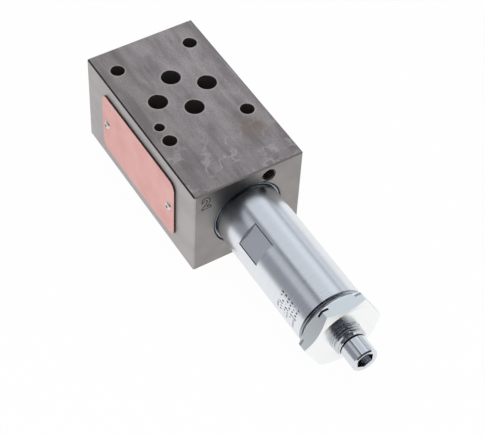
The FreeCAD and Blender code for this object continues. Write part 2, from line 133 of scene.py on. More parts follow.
# %% Pattern helpers
def grain(tree, place, size, detail=3.0, stretch=(1, 1, 1)):
    """Noise with blotches of about this size in metres, optionally stretched."""
    spread = add(tree, "Mapping", {"Vector": place, "Scale": [1 / s for s in stretch]})
    noise = add(tree, "TexNoise", {"Vector": spread, "Scale": 1 / size, "Detail": detail})
    return noise.outputs["Fac"]


def facing(tree):
    """How far a face looks along X, Y and Z, from 0 to 1, whichever way round."""
    parts = add(tree, "SeparateXYZ", [add(tree, "TexCoord").outputs["Normal"]])
    return [add(tree, "Math", [part], operation="ABSOLUTE") for part in parts.outputs]


def where(tree, *tests):
    """A mask that is 1 where every test holds. A test is a value, a comparison and a limit."""
    mask = None
    for value, comparison, limit in tests:
        test = add(tree, "Math", [value, limit], operation=comparison)
        mask = test if mask is None else add(tree, "Math", [mask, test], operation="MULTIPLY")
    return mask


def lay_over(tree, tone, *layers):
    """Lays further tones over the first. A layer is a share from 0 to 1 and its tone."""
    for share, layer_tone in layers:
        tone = add(tree, "Mix", [share, tone, layer_tone], data_type="RGBA")
    return tone


# %% [markdown]
# ## The iron block
#
# The block is grey cast iron, machined on all sides and lightly phosphated against rust.
# Its two port faces are ground, which leaves a darker skin with cloudy stains, while the
# sides keep the paler look of milling. The drill leaves a thin pale rim round every hole
# in the top face, so the places of those holes are read from the record first.

# %% The holes in the top face
def find_hole_mouths():
    """The centre and radius of every hole that the record names in the top face."""
    mouths = []
    for mount in frame["record"]["mounts"]:
        x, y, _ = mount["pos_m"]
        if mount["kind"] == "bolt_pattern":
            half = mount["dims"]["spacing_y_mm"] * mm / 2
            radius = mount["dims"]["hole_r_mm"] * mm
            mouths += [((x, y + side * half, block_high.z), radius) for side in (1, -1)]
        elif mount["kind"] == "bore" and abs(mount["axis"][2]) == 1:
            mouths.append(((x, y, block_high.z), mount["dims"]["r_mm"] * mm))
    return mouths


def beyond_holes(tree, place):
    """How far a place lies outside the nearest hole."""
    nearest = None
    for centre, radius in hole_mouths:
        away = add(tree, "VectorMath", [place, centre], operation="DISTANCE")
        gap = add(tree, "Math", [away, radius], operation="SUBTRACT")
        nearest = gap if nearest is None else add(tree, "Math", [nearest, gap], operation="MINIMUM")
    return nearest


hole_mouths = find_hole_mouths()
print("found", len(hole_mouths), "hole mouths")

# %% [markdown]
# The ground faces are laid up like paint: clouds about 8 mm wide, pale and dark grinding
# streaks drawn out along the block, a 0.7 mm grain, then the marks of use. A thin curl
# appears where a slow noise crosses one level, as a contour line does on a map.

# %% The ground faces
stain_place = (29 * mm, 13 * mm, block_high.z)
curl_level = 0.52


def pale_curls(tree, place, x):
    """The share of pale curls, which lie in patches near the cartridge end."""
    above = add(tree, "Math", [grain(tree, place, 8 * mm), curl_level], operation="SUBTRACT")
    off_line = add(tree, "Math", [above], operation="ABSOLUTE")
    curls = add(tree, "MapRange", [off_line, 0.0, 0.05, 0.5, 0.0])
    patches = add(tree, "MapRange", [grain(tree, place, 7 * mm, 2.0), 0.46, 0.58])
    near_end = add(tree, "MapRange", [x, 16 * mm, 34 * mm])
    where_they_lie = add(tree, "Math", [patches, near_end], operation="MULTIPLY")
    return add(tree, "Math", [curls, where_they_lie], operation="MULTIPLY")


def ground_tone(tree, place, clouds, speckle):
    """The colour of the two ground port faces."""
    x, y, _ = add(tree, "SeparateXYZ", [place]).outputs
    streaks = grain(tree, place, 3.5 * mm, 3.0, (7, 1, 1))
    dark_streaks = grain(tree, place, 5 * mm, 3.0, (6, 1, 1))
    from_stain = add(tree, "VectorMath", [place, stain_place], operation="DISTANCE")
    from_hole = beyond_holes(tree, place)
    return lay_over(
        tree, "7f7879",
        (clouds, "a0999a"),
        (add(tree, "MapRange", [streaks, 0.42, 0.66, 0.0, 0.45]), "b7b0b1"),
        (add(tree, "MapRange", [dark_streaks, 0.34, 0.46, 0.4, 0.0]), "67615f"),
        (add(tree, "Math", [speckle, 0.4], operation="MULTIPLY"), "645e60"),
        # The ground faces are darker towards the side above the plate and towards the cartridge end
        (add(tree, "MapRange", [y, block_low.y, 2 * mm, 0.35, 0.0]), "67615f"),
        (add(tree, "MapRange", [x, 12 * mm, 34 * mm, 0.0, 0.25]), "625e61"),
        # A brown stain lies beside the bolt hole at the cartridge end
        (add(tree, "MapRange", [from_stain, 1 * mm, 8 * mm, 0.5, 0.0]), "74604f"),
        (pale_curls(tree, place, x), "b6b0b2"),
        # The pale rim that the drill left
        (add(tree, "MapRange", [from_hole, 0.1 * mm, 0.8 * mm, 0.5, 0.0]), "b4b0ac"),
    )


# %% [markdown]
# The finish follows the direction that a face looks in. The milled sides are paler and
# more even, and the end faces a little warmer. Broken edges get a painted dark reflection:
# no part of their direction is over 0.9. The hole walls get painted shade, and a point deeper
# than 0.3 mm inside the block's own box can only be the wall of a hole.

# %% Cast iron, machined and phosphated
square_on = 0.9
wall_depth = 0.3 * mm


def make_iron():
    material, tree, shader, place = start_material("cast_iron_machined", "9a979b", 0.4, 0.4)
    along_x, along_y, along_z = facing(tree)
    clouds = grain(tree, place, 8 * mm, 5.0, (1.6, 1, 1))
    clouds = add(tree, "MapRange", [clouds, 0.36, 0.64])
    speckle = add(tree, "MapRange", [grain(tree, place, 0.7 * mm, 2.0), 0.3, 0.7])
    ground = ground_tone(tree, place, clouds, speckle)
    ends = lay_over(tree, "93908f", (clouds, "9e9997"))

    # The broken edges that look partly up or down get a painted dark reflection, darkest on the long
    # ones
    broken_edges = where(
        tree, (along_x, "LESS_THAN", square_on), (along_y, "LESS_THAN", square_on),
        (along_z, "LESS_THAN", square_on), (along_z, "GREATER_THAN", 0.3),
    )
    long_edges = where(tree, (along_x, "LESS_THAN", 0.3))
    painted_edge_reflection = lay_over(tree, "837e7b", (long_edges, "2f292b"))

    # The hole walls found here are painted dark as shade
    depth_tests = []
    spot = add(tree, "SeparateXYZ", [place]).outputs
    for value, low, high in zip(spot, block_low, block_high):
        depth_tests.append((value, "GREATER_THAN", low + wall_depth))
        depth_tests.append((value, "LESS_THAN", high - wall_depth))
    shaded_hole_walls = where(tree, *depth_tests)

    is_end = where(tree, (along_x, "GREATER_THAN", square_on))
    is_ground = where(tree, (along_z, "GREATER_THAN", square_on))
    # The broken edges' tone laid on below is a painted dark reflection
    finish = lay_over(
        tree, "afaaaa", (clouds, "b9b4b4"), (is_end, ends), (is_ground, ground),
        (broken_edges, painted_edge_reflection), (shaded_hole_walls, "454240"),
    )

    # The end faces were fly cut, so they mirror their surroundings most
    mirrors = where(tree, (is_end, "GREATER_THAN", shaded_hole_walls))
    feed(tree, shader, {
        "Base Color": finish,
        "Metallic": add(tree, "MapRange", [mirrors, 0.0, 1.0, 0.4, 1.0]),
        "Normal": add(tree, "Bump", {"Height": speckle, "Distance": 0.02 * mm, "Strength": 0.5}),
    })
    return material


iron = make_iron()
print("made", iron.name)

# %% [markdown]
# ## Bright zinc
#
# The tube and the lock nut are turned steel with bright zinc plating: a slightly blue
# mirror that fine tool rings soften. The rings are about 0.1 mm apart, too fine for this
# picture, so they are drawn 0.6 mm apart.

# %% Zinc-plated turned steel
zinc_hex = "eceff3"
ring_stretch = (1, 60, 60)


def make_zinc(name="zinc_plated_steel"):
    material, tree, shader, place = start_material(name, zinc_hex, 1.0, 0.25)
    rings = grain(tree, place, 0.6 * mm, 2.0, ring_stretch)
    bands = grain(tree, place, 4 * mm, 2.0, ring_stretch)
    both = add(tree, "Math", [rings, bands], operation="ADD")
    tint = lay_over(tree, "e7eaef", (add(tree, "MapRange", [rings, 0.35, 0.65]), zinc_hex))
    feed(tree, shader, {
        "Base Color": tint,
        "Roughness": add(tree, "MapRange", [both, 0.7, 1.3, 0.25, 0.27]),
        "Normal": add(tree, "Bump", {"Height": rings, "Distance": 0.001 * mm, "Strength": 0.03}),
    })
    return material, tree, shader, place, tint


zinc = make_zinc()[0]
print("made", zinc.name)

# %% [markdown]
# The tube and the nut each get their own version, with marks that run round the valve
# axis. They need to know how far a place lies from that axis, and how far round it.

# %% Places round the valve axis
def round_axis(tree, place):
    """A place's x, its distance from the axis, and its angle from +Y over the top."""
    x, across, height = add(tree, "SeparateXYZ", [place]).outputs
    up = add(tree, "Math", [height, axis_z], operation="SUBTRACT")
    squares = [add(tree, "Math", [side, side], operation="MULTIPLY") for side in (across, up)]
    radius = add(tree, "Math", [add(tree, "Math", squares, operation="ADD")], operation="SQRT")

    # The arc tangent is negative under the axis, and a whole turn brings it above 0
    angle = add(tree, "Math", [up, across], operation="ARCTAN2")
    is_under = where(tree, (angle, "LESS_THAN", 0.0))
    turn = add(tree, "Math", [is_under, 2 * pi], operation="MULTIPLY")
    return x, radius, add(tree, "Math", [angle, turn], operation="ADD")


# %% [markdown]
# The wrench flats and the walls beside them lie nearer to the axis than the turned
# surface, so a distance from the axis finds them. They are milled and look a little
# paler than the turned steel, and a line of painted shade runs along the walls' rim.

# %% The tube's milled flats
tube_radius = 13 * mm
flat_distance = 12 * mm
flat_start = block_high.x + 13.9 * mm
flat_end = flat_start + 11.5 * mm
past_flat = 0.05 * mm
flat_wall = 0.02 * mm
rim_shade_depth = 0.16 * mm


def flat_layers(tree, x, radius):
    """The layers of the flats: their walls, their floors and the line of painted shade round them."""
    sunk = (radius, "LESS_THAN", tube_radius - 0.03 * mm)
    walls = where(
        tree, sunk, (x, "GREATER_THAN", flat_start - past_flat), (x, "LESS_THAN", flat_end + past_flat),
    )
    floors = where(
        tree, sunk, (x, "GREATER_THAN", flat_start + flat_wall), (x, "LESS_THAN", flat_end - flat_wall),
    )
    # The line along the walls' rim is painted shade
    near_rim = where(tree, (radius, "GREATER_THAN", tube_radius - rim_shade_depth))
    line = add(tree, "Math", [walls, near_rim], operation="MULTIPLY")
    return [(walls, "f0f2f5"), (floors, "fafbfd"), (line, "50535b")]


# %% [markdown]
# Near its far end the tube carries a small etched scale: rows of plain worn ticks that
# wrap part of the way round. They are worked out from the place of each point, with no
# picture: what is left of a length after whole pitches are taken off tells tick from gap.

# %% The tube's etched scale
scale_start = 89 * mm
scale_end = 100 * mm
scale_low_angle = radians(146)
scale_high_angle = radians(188)
tick_pitch = 1.25 * mm
row_pitch = 1.9 * mm
etch_strength = 0.9


def tick_share(tree, place, x, radius, turned):
    """How strongly a place is etched. Every fifth tick is longer than the rest."""
    arc = add(tree, "Math", [turned, tube_radius], operation="MULTIPLY")
    ticks = add(tree, "Math", [arc, tick_pitch], operation="DIVIDE")
    fives = add(tree, "Math", [ticks, 5.0], operation="DIVIDE")
    past_start = add(tree, "Math", [x, scale_start], operation="SUBTRACT")
    rows = add(tree, "Math", [past_start, row_pitch], operation="DIVIDE")
    in_tick, in_five, in_row = [
        add(tree, "Math", [count], operation="FRACT") for count in (ticks, fives, rows)
    ]
    is_fifth = where(tree, (in_five, "LESS_THAN", 0.2))
    length = add(tree, "MapRange", [is_fifth, 0.0, 1.0, 0.5, 0.8])
    etched = where(
        tree, (in_tick, "LESS_THAN", 0.5), (in_row, "LESS_THAN", length),
        (turned, "GREATER_THAN", scale_low_angle), (turned, "LESS_THAN", scale_high_angle),
        (x, "GREATER_THAN", scale_start), (x, "LESS_THAN", scale_end),
        (radius, "GREATER_THAN", tube_radius - 0.1 * mm),
    )
    worn = grain(tree, place, 2 * mm, 1.0)
    worn = add(tree, "MapRange", [worn, 0.38, 0.48, 0.0, etch_strength])
    return add(tree, "Math", [etched, worn], operation="MULTIPLY")


# %% [markdown]
# The sunk collar and the tube beside it get painted shade. A line of painted shade, darkest
# on the plate's side, runs round the tube just before its last ring, and that ring is
# darkened as painted shade too, least on its upper side away from the plate.

# %% The tube's finish
shade_near_block_reach = (1 * mm, 7 * mm)
collar_reach = 0.65 * mm
last_ring_width = 1.35 * mm
line_place = tube_high.x - 1.75 * mm
line_half = 0.36 * mm


def make_tube_finish():
    material, tree, shader, place, tint = make_zinc("zinc_plated_tube")
    x, radius, turned = round_axis(tree, place)
    shaded = add(tree, "MapRange", [turned, radians(60), radians(105)])
    low_side = add(tree, "MapRange", [turned, radians(145), radians(172)])
    # Painted shade darkens the tube near the block and the sunk collar
    shade_near_block_start, shade_near_block_end = [block_high.x + reach for reach in shade_near_block_reach]
    shade_near_block = add(tree, "MapRange", [x, shade_near_block_start, shade_near_block_end, 0.7, 0.0])
    collar = where(tree, (x, "LESS_THAN", block_high.x + collar_reach))
    # The last ring is darkened as painted shade, least on its upper side away from the plate
    last_ring = where(tree, (x, "GREATER_THAN", tube_high.x - last_ring_width))
    # A line of painted shade runs round the tube before its last ring, lighter again underneath
    shaded_line = where(
        tree, (x, "GREATER_THAN", line_place - line_half), (x, "LESS_THAN", line_place + line_half),
    )
    finish = lay_over(
        tree, tint,
        *flat_layers(tree, x, radius),
        (shade_near_block, "7c8689"),
        (collar, "989da4"),
        (last_ring, lay_over(tree, "c3c8cd", (shaded, "8d9197"))),
        (shaded_line, lay_over(tree, "a9aeb4", (shaded, "303238"), (low_side, "a9aeb4"))),
        (tick_share(tree, place, x, radius, turned), "3c3f46"),
    )
    feed(tree, shader, {"Base Color": finish})
    return material


tube_finish = make_tube_finish()
print("made", tube_finish.name)

# %% [markdown]
# The lock nut's turned faces and chamfers are brighter than its six milled flats, which
# keep a greyer sheen. The direction of a face tells the two apart. The back edge was
# turned too: a bright band, deeper at the six corners, with a painted dark reflection at its foot.

# %% The lock nut's finish
corner_radius = 14.4 * mm
foot_radius = 14.5 * mm
foot_start = 1.7 * mm
foot_end = 2.6 * mm
dark_reflection_place = (nut_low.x + 2.2 * mm, -7.5 * mm, axis_z + 13 * mm)


def make_nut_finish():
    material, tree, shader, place, _ = make_zinc("zinc_plated_nut")
    x, radius, _ = round_axis(tree, place)
    turned_faces = where(tree, (facing(tree)[0], "GREATER_THAN", 0.3))
    from_back = add(tree, "Math", [x, nut_low.x], operation="SUBTRACT")
    corners = where(tree, (radius, "GREATER_THAN", corner_radius))
    band_depth = add(tree, "MapRange", [corners, 0.0, 1.0, 0.7 * mm, 1.8 * mm])
    band = where(tree, (from_back, "LESS_THAN", band_depth))
    foot = where(
        tree, (from_back, "GREATER_THAN", foot_start), (from_back, "LESS_THAN", foot_end),
        (radius, "GREATER_THAN", foot_radius),
    )
    # The foot's painted dark reflection is darkest at the upper corner on the plate's side, and grey
    # elsewhere
    from_dark_reflection = add(tree, "VectorMath", [place, dark_reflection_place], operation="DISTANCE")
    away_from_dark_reflection = add(tree, "MapRange", [from_dark_reflection, 5 * mm, 8 * mm])
    foot_reflection_tone = lay_over(tree, "26282d", (away_from_dark_reflection, "a4a9ad"))
    finish = lay_over(tree, "e5e9eb", (turned_faces, "fbfdfc"), (band, "ffffff"), (foot, foot_reflection_tone))
    feed(tree, shader, {"Base Color": finish})
    return material


nut_finish = make_nut_finish()
print("made", nut_finish.name)

# %% [markdown]
# ## The other finishes
#
# Each is named for what the real piece is made of. The hidden pieces get theirs too,
# because the model is also looked at taken apart.

# %% Steels
def make_steel(name, hex_value, roughness, ring=0.5 * mm, stretch=(1, 40, 40)):
    """Turned, ground or wound steel: one tone with fine rings or streaks in its gloss."""
    material, tree, shader, place = start_material(name, hex_value, 1.0, roughness)
    rings = grain(tree, place, ring, 3.0, stretch)
    feed(tree, shader, {
        "Roughness": add(tree, "MapRange", [rings, 0.3, 0.7, roughness - 0.07, roughness + 0.08]),
        "Normal": add(tree, "Bump", {"Height": rings, "Distance": 0.001 * mm, "Strength": 0.05}),
    })
    return material


screw_steel = make_steel("screw_steel_grey_zinc", "d2d5da", 0.15)
polished_tip = make_steel("screw_tip_polished", "dfe2e7", 0.14)
hardened = make_steel("hardened_ground_steel", "c4c4c6", 0.18)
spring_wire = make_steel("spring_wire_oil_tempered", "6c6c71", 0.35, 0.8 * mm, (1, 1, 1))
black_oxide = make_steel("black_oxide_steel", "33343a", 0.42)
cut_thread = make_steel("cut_iron_thread", "8d8a84", 0.35)
rivet_metal = make_steel("rivet_aluminium", "dcdad8", 0.25, 0.4 * mm, (1, 1, 1))
print("made seven metals")

# %% [markdown]
# Nitrile seals are matt black with a faint bloom. The backup ring is a pale, slightly
# waxy plastic. The plate is thin aluminium with a faded red coating: its face is pink,
# and its sheared edge gets painted shade, nearly black.

# %% Rubber, plastic and the red plate
def make_soft(name, dark, light, roughness, size):
    """A matt material whose tone drifts a little over the given size."""
    material, tree, shader, place = start_material(name, dark, 0.0, roughness)
    drift = add(tree, "MapRange", [grain(tree, place, size), 0.3, 0.7])
    feed(tree, shader, {
        "Base Color": lay_over(tree, dark, (drift, light)),
        "Normal": add(tree, "Bump", {"Height": drift, "Distance": 0.02 * mm, "Strength": 0.3}),
    })
    return material


nitrile = make_soft("nitrile_rubber", "161616", "232323", 0.6, 1.5 * mm)
backup_plastic = make_soft("backup_ring_plastic", "d8d2c6", "e2ddd2", 0.4, 3 * mm)


def make_plate_finish():
    material, tree, shader, place = start_material("plate_red_coating", "e0a3a0", 0.0, 0.45)
    fade = add(tree, "MapRange", [grain(tree, place, 9 * mm), 0.3, 0.7])
    # The plate's edge is painted nearly black as shade, and its face is pink
    plate_face_mask = where(tree, (facing(tree)[1], "GREATER_THAN", 0.5))
    skin = grain(tree, place, 0.5 * mm)
    feed(tree, shader, {
        "Base Color": lay_over(tree, "2e1d1c", (plate_face_mask, lay_over(tree, "eeaca7", (fade, "f8bdb7")))),
        "Normal": add(tree, "Bump", {"Height": skin, "Distance": 0.01 * mm, "Strength": 0.3}),
    })
    return material


plate_finish = make_plate_finish()
print("made", nitrile.name, backup_plastic.name, plate_finish.name)

# %% [markdown]
# The solids that keep their own shape get their finish through their material slots. The
# record names a slot for each node, so one table from slot to material covers them all.

# %% Give every solid its finish
finishes = {
    "body_iron": iron,
    "plate_metal": plate_finish,
    "rivet_metal": rivet_metal,
    "seal_rubber": nitrile,
    "backup_plastic": backup_plastic,
    "black_steel": black_oxide,
    "bright_plating": zinc,
    "hardened_steel": hardened,
    "spring_steel": spring_wire,
    "screw_steel": screw_steel,
}
for part in frame["record"]["subparts"]:
    node = frame["nodes"][part["node"]]
    for slot in node.material_slots:
        slot.material = finishes[part["material_slot"]]

# %% [markdown]
# ## Turned pieces
#
# A lathe makes a shape by turning a profile about an axis, and so does the spin operator.
# The profile is a list of places along the axis and radii. The full turn merges its last
# step with its first, doubles at the poles are merged, and the normals are recalculated,
# because a spin can turn a shape inside out.

# %% Lathe and finish helpers
lathe_steps = 128
# Points that are less than a hair or two apart count as one
hair = 0.001 * mm


def lathe(shape, profile, closed, centre=axis, direction=along, outward=Vector((0, 0, 1))):
    """Spins a profile of (along, radius) pairs about an axis, into the given bmesh."""
    points = [shape.verts.new(centre + direction * x + outward * r) for x, r in profile]
    last = len(points) if closed else len(points) - 1
    edges = [shape.edges.new((points[i], points[(i + 1) % len(points)])) for i in range(last)]
    bmesh.ops.spin(
        shape, geom=points + edges, cent=centre, axis=direction,
        angle=2 * pi, steps=lathe_steps, use_merge=True,
    )
    bmesh.ops.remove_doubles(shape, verts=shape.verts, dist=2 * hair)


def to_object(shape, name, materials):
    """Makes a mesh object of a bmesh and links it to the scene."""
    mesh = bpy.data.meshes.new(name)
    shape.to_mesh(mesh)
    shape.free()
    for material in materials:
        mesh.materials.append(material)
    thing = bpy.data.objects.new(name, mesh)
    bpy.context.scene.collection.objects.link(thing)
    return thing


def finish_piece(shape, name, materials, body, replaced=(), smooth_below=radians(25)):
    """Makes a piece of the valve: smooths its gentle edges and ties it to a body."""
    bmesh.ops.recalc_face_normals(shape, faces=shape.faces)
    piece = to_object(shape, name, materials)
    piece.data.shade_smooth()
    piece.data.set_sharp_from_angle(angle=smooth_below)
    if replaced:
        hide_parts(*replaced)
    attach(piece, body)
    print("made", name, "with", len(piece.data.polygons), "faces")


# %% [markdown]
# The bright tube shows soft streaks of light along its length, which the flat facets of a
# CAD mesh would break up. So it is turned again, finer, to the same sizes. The profile
# has a ring of points at each end of the wrench flats, and each flat is then cut off with
# a plane between those rings.

# %% Cut a wrench flat
def cut_flat(shape, outward):
    """Cuts one wrench flat off the ring between flat_start and flat_end, and closes it."""
    ring = [
        face for face in shape.faces
        if flat_start < face.calc_center_median().x < flat_end
        and all((v.co - axis).yz.length > tube_radius - 10 * hair for v in face.verts)
    ]
    geometry = ring + [e for f in ring for e in f.edges] + [v for f in ring for v in f.verts]
    on_flat = axis + outward * flat_distance
    bmesh.ops.bisect_plane(
        shape, geom=list(dict.fromkeys(geometry)), dist=hair, plane_co=on_flat,
        plane_no=outward, clear_outer=False,
    )
    above = [
        face for face in shape.faces
        if flat_start < face.calc_center_median().x < flat_end
        and (face.calc_center_median() - on_flat).dot(outward) > hair
    ]
    bmesh.ops.delete(shape, geom=above, context="FACES")
    rim = [edge for edge in shape.edges if edge.is_boundary]
    for x in (flat_start, flat_end):
        arc = [e for e in rim if all(abs(v.co.x - x) < hair for v in e.verts)]
        corners = [
            v for e in arc for v in e.verts if abs((v.co - on_flat).dot(outward)) < 2 * hair
        ]
        ends = sorted(set(corners), key=lambda v: v.co.z)
        chord = shape.edges.new((ends[0], ends[-1]))
        bmesh.ops.contextual_create(shape, geom=arc + [chord])
    bmesh.ops.holes_fill(shape, edges=[e for e in shape.edges if e.is_boundary], sides=0)


# %% The spring housing
flat_angle = radians(139)
bevel = 0.4 * mm
face_x = block_high.x
collar_face = face_x - 0.2 * mm
collar_bevel = 0.12 * mm
undercut_end = collar_face + 0.8 * mm
undercut_bevel = 0.1 * mm
neck_start = tube_high.x - 1.2 * mm
mouth_floor = face_x - 3 * mm
seal_groove_start = mouth_floor - 2.3 * mm
thread_end = face_x - 14.5 * mm
collar_radius = (tube_high.z - tube_low.z) / 2
neck_radius = 12.3 * mm
undercut_radius = 12.4 * mm
thread_radius = 11.95 * mm
nose_radius = 10.8 * mm
seal_groove_radius = 10.3 * mm
spring_bore_radius = 9 * mm
screw_bore_radius = 6.05 * mm
bore_end = tube_high.x - 7.2 * mm


def make_tube():
    shape = bmesh.new()
    lathe(shape, [
        (tube_low.x, spring_bore_radius),
        (tube_low.x, nose_radius),
        (thread_end, nose_radius),
        (thread_end + bevel, thread_radius),
        (seal_groove_start, thread_radius),
        (seal_groove_start, seal_groove_radius),
        (mouth_floor, seal_groove_radius),
        (mouth_floor, collar_radius),
        (collar_face - collar_bevel, collar_radius),
        (collar_face, collar_radius - collar_bevel),
        (collar_face, undercut_radius),
        (undercut_end, undercut_radius),
        (undercut_end, tube_radius - undercut_bevel),
        (undercut_end + undercut_bevel, tube_radius),
        (flat_start, tube_radius),
        (flat_end, tube_radius),
        (neck_start - bevel, tube_radius),
        (neck_start, tube_radius - bevel),
        (neck_start, neck_radius),
        (tube_high.x, neck_radius),
        (tube_high.x, screw_bore_radius),
        (bore_end, screw_bore_radius),
        (bore_end, spring_bore_radius),
    ], closed=True)
    for angle in (flat_angle, flat_angle + pi):
        cut_flat(shape, Vector((0, cos(angle), sin(angle))))
    finish_piece(
        shape, "turned_spring_housing", [tube_finish], "block_and_housing",
        ["spring_housing"], radians(20),
    )


make_tube()

# %% [markdown]
# ## The adjusting screw
#
# Between the nut and its smooth tip the screw shows a few turns of thread. A thread is a
# ridge with a narrow flat crest, which climbs one pitch each turn: a spin that also moves
# along the axis makes it. The same ridge, turned to point inwards, lines the threaded
# hole in the block's end face.

# %% A thread ridge
ridge_steps = 48
foot_share = 0.48
crest_share = 0.16


def thread_ridge(shape, base, crest, pitch, start, turns, centre):
    """A climbing ridge about a line along X, from its base radius to its crest radius."""
    foot = pitch * foot_share
    flat = pitch * crest_share
    corners = [
        (start - foot, base), (start - flat, crest), (start + flat, crest), (start + foot, base),
    ]
    profile = [shape.verts.new(centre + Vector((x, 0, r))) for x, r in corners]
    first = shape.faces.new(profile)
    steps = int(ridge_steps * turns)
    bmesh.ops.spin(
        shape, geom=[first], cent=centre, axis=along, dvec=along * (pitch * turns / steps),
        angle=2 * pi * turns, steps=steps, use_duplicate=False,
    )


# %% [markdown]
# The rest of the screw is turned, from the piston that seals inside the tube to the tip.
# Its hexagon socket starts at the foot of a countersink: a six-sided ring, set a hair
# deeper than the round edge there so that the two join the right way round, is bridged to
# it and pushed in to the depth of the key.

# %% The screw's sizes
screw_low, screw_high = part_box("adjusting_screw")
screw_nose_radius = 3 * mm
piston_front = screw_low.x + 1.5 * mm
piston_back = piston_front + 6.5 * mm
piston_radius = 8.95 * mm
groove_start = piston_front + 2 * mm
groove_end = groove_start + 2.4 * mm
groove_root = 7.2 * mm
thread_crest = 6 * mm
thread_pitch = 1.25 * mm
thread_core = thread_crest - 0.65 * thread_pitch
stub_end = nut_high.x + 4.2 * mm
stub_bevel = 0.2 * mm
tip_start = stub_end + 0.6 * mm
tip_neck = 4.6 * mm
tip_radius = 5 * mm
tip_bevel = 0.5 * mm
mouth_radius = 4.15 * mm
mouth_depth = 0.3 * mm
key_corner = 6 * mm / sqrt(3)
last_face = screw_high.x
socket_start = last_face - mouth_depth - 0.05 * mm
socket_floor = last_face - 6 * mm


# %% The hexagon socket
def add_socket(shape):
    """Joins a hexagon to the open round edge and pushes it in to the socket's floor."""
    round_edge = [edge for edge in shape.edges if edge.is_boundary]
    upright = Matrix.Rotation(pi / 2, 4, "Y") @ Matrix.Rotation(pi / 2, 4, "Z")
    hexagon = bmesh.ops.create_circle(
        shape, segments=6, radius=key_corner,
        matrix=Matrix.Translation(axis + along * socket_start) @ upright,
    )
    sides = list({edge for v in hexagon["verts"] for edge in v.link_edges})
    bmesh.ops.bridge_loops(shape, edges=round_edge + sides)
    pushed = bmesh.ops.extrude_edge_only(
        shape, edges=[edge for edge in shape.edges if edge.is_boundary]
    )
    floor_verts = [v for v in pushed["geom"] if isinstance(v, bmesh.types.BMVert)]
    bmesh.ops.translate(shape, vec=along * (socket_floor - socket_start), verts=floor_verts)
    bmesh.ops.contextual_create(shape, geom=floor_verts)


# %% The adjusting screw
def make_screw():
    shape = bmesh.new()
    lathe(shape, [
        (screw_low.x, 0),
        (screw_low.x, screw_nose_radius),
        (piston_front, screw_nose_radius),
        (piston_front, piston_radius),
        (groove_start, piston_radius),
        (groove_start, groove_root),
        (groove_end, groove_root),
        (groove_end, piston_radius),
        (piston_back, piston_radius),
        (piston_back, thread_core),
        (stub_end - stub_bevel, thread_core),
        (stub_end, thread_core - stub_bevel),
        (stub_end, tip_neck),
        (tip_start, tip_neck),
        (tip_start, tip_radius),
        (last_face - tip_bevel, tip_radius),
        (last_face, tip_radius - tip_bevel),
        (last_face, mouth_radius),
        (last_face - mouth_depth, key_corner + 0.05 * mm),
    ], closed=False)
    add_socket(shape)

    # The tip is polished, and the narrow groove before it gets the black oxide finish as painted shade
    for face in shape.faces:
        middle = face.calc_center_median()
        off_axis = (middle - axis).yz.length
        past_thread = stub_end - 0.1 * mm < middle.x < tip_start + 0.05 * mm
        shaded_groove = past_thread and off_axis < tip_neck + 0.3 * mm
        face.material_index = 2 if shaded_groove else int(middle.x > stub_end)
    turns = int((stub_end - piston_back) / thread_pitch) - 1
    first_turn = stub_end - 0.7 * mm - turns * thread_pitch
    thread_foot = thread_core - 0.05 * mm
    thread_ridge(shape, thread_foot, thread_crest, thread_pitch, first_turn, turns, axis)
    finish_piece(
        shape, "threaded_adjusting_screw", [screw_steel, polished_tip, black_oxide], "screw",
        ["adjusting_screw"], radians(30),
    )


make_screw()

# %% [markdown]
# The end face's hole is threaded from its mouth down to the plug that is sunk in it. The
# ridge's foot lies a hair clear of the wall, and its crest points to the middle.

# %% The thread in the end face
plug_low, plug_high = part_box("channel_plug")
hole_centre = Vector((0, (plug_low.y + plug_high.y) / 2, (plug_low.z + plug_high.z) / 2))
hole_radius = 3 * mm
hole_foot = hole_radius - 0.01 * mm
hole_crest = hole_radius - 0.45 * mm
hole_pitch = 1 * mm


def make_hole_thread():
    shape = bmesh.new()
    turns = int((face_x - plug_high.x) / hole_pitch) - 1
    first_turn = plug_high.x + 0.6 * mm
    thread_ridge(shape, hole_foot, hole_crest, hole_pitch, first_turn, turns, hole_centre)
    finish_piece(shape, "end_face_thread", [cut_thread], "block_and_housing")


make_hole_thread()

# %% [markdown]
# ## The rivets
#
# A drive rivet has a low domed head, with a dimple where its pin went in. The dome follows
# most of a quarter ellipse, turned about the rivet's own axis, which points out of the
# plate. The dimple's edge is rounded in two steps, and its wall narrows to its floor.

# %% Domed rivets
dome_points = 7
dome_share = 0.8
rivet_radius = 1.8 * mm
rivet_height = 0.9 * mm
shank_radius = 1 * mm
dimple_radius = 0.55 * mm
dimple_depth = 0.5 * mm
plate_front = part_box("name_plate")[0].y


def make_rivet(node_name, name):
    low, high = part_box(node_name)
    centre = Vector(((low.x + high.x) / 2, plate_front, (low.z + high.z) / 2))
    shank = high.y - plate_front
    dimple_floor = rivet_height - dimple_depth
    dome = [
        (rivet_height * sin(t), rivet_radius * cos(t))
        for t in [pi / 2 * dome_share * i / dome_points for i in range(dome_points + 1)]
    ]
    profile = [(-shank, 0), (-shank, shank_radius), (0, shank_radius)] + dome + [
        (rivet_height * 0.97, dimple_radius * 1.15),
        (rivet_height * 0.9, dimple_radius),
        (dimple_floor, dimple_radius * 0.8),
        (dimple_floor, 0),
    ]
    shape = bmesh.new()
    lathe(shape, profile, False, centre, Vector((0, -1, 0)))
    for face in shape.faces:
        reach = plate_front - face.calc_center_median().y
        off_centre = (face.calc_center_median() - centre).xz.length
        face.material_index = int(off_centre < dimple_radius and reach > 0)
    finish_piece(
        shape, name, [rivet_metal, black_oxide], "block_and_housing", [node_name],
        radians(40),
    )


for side in ("left", "right"):
    make_rivet("plate_rivet_" + side, "domed_rivet_" + side)

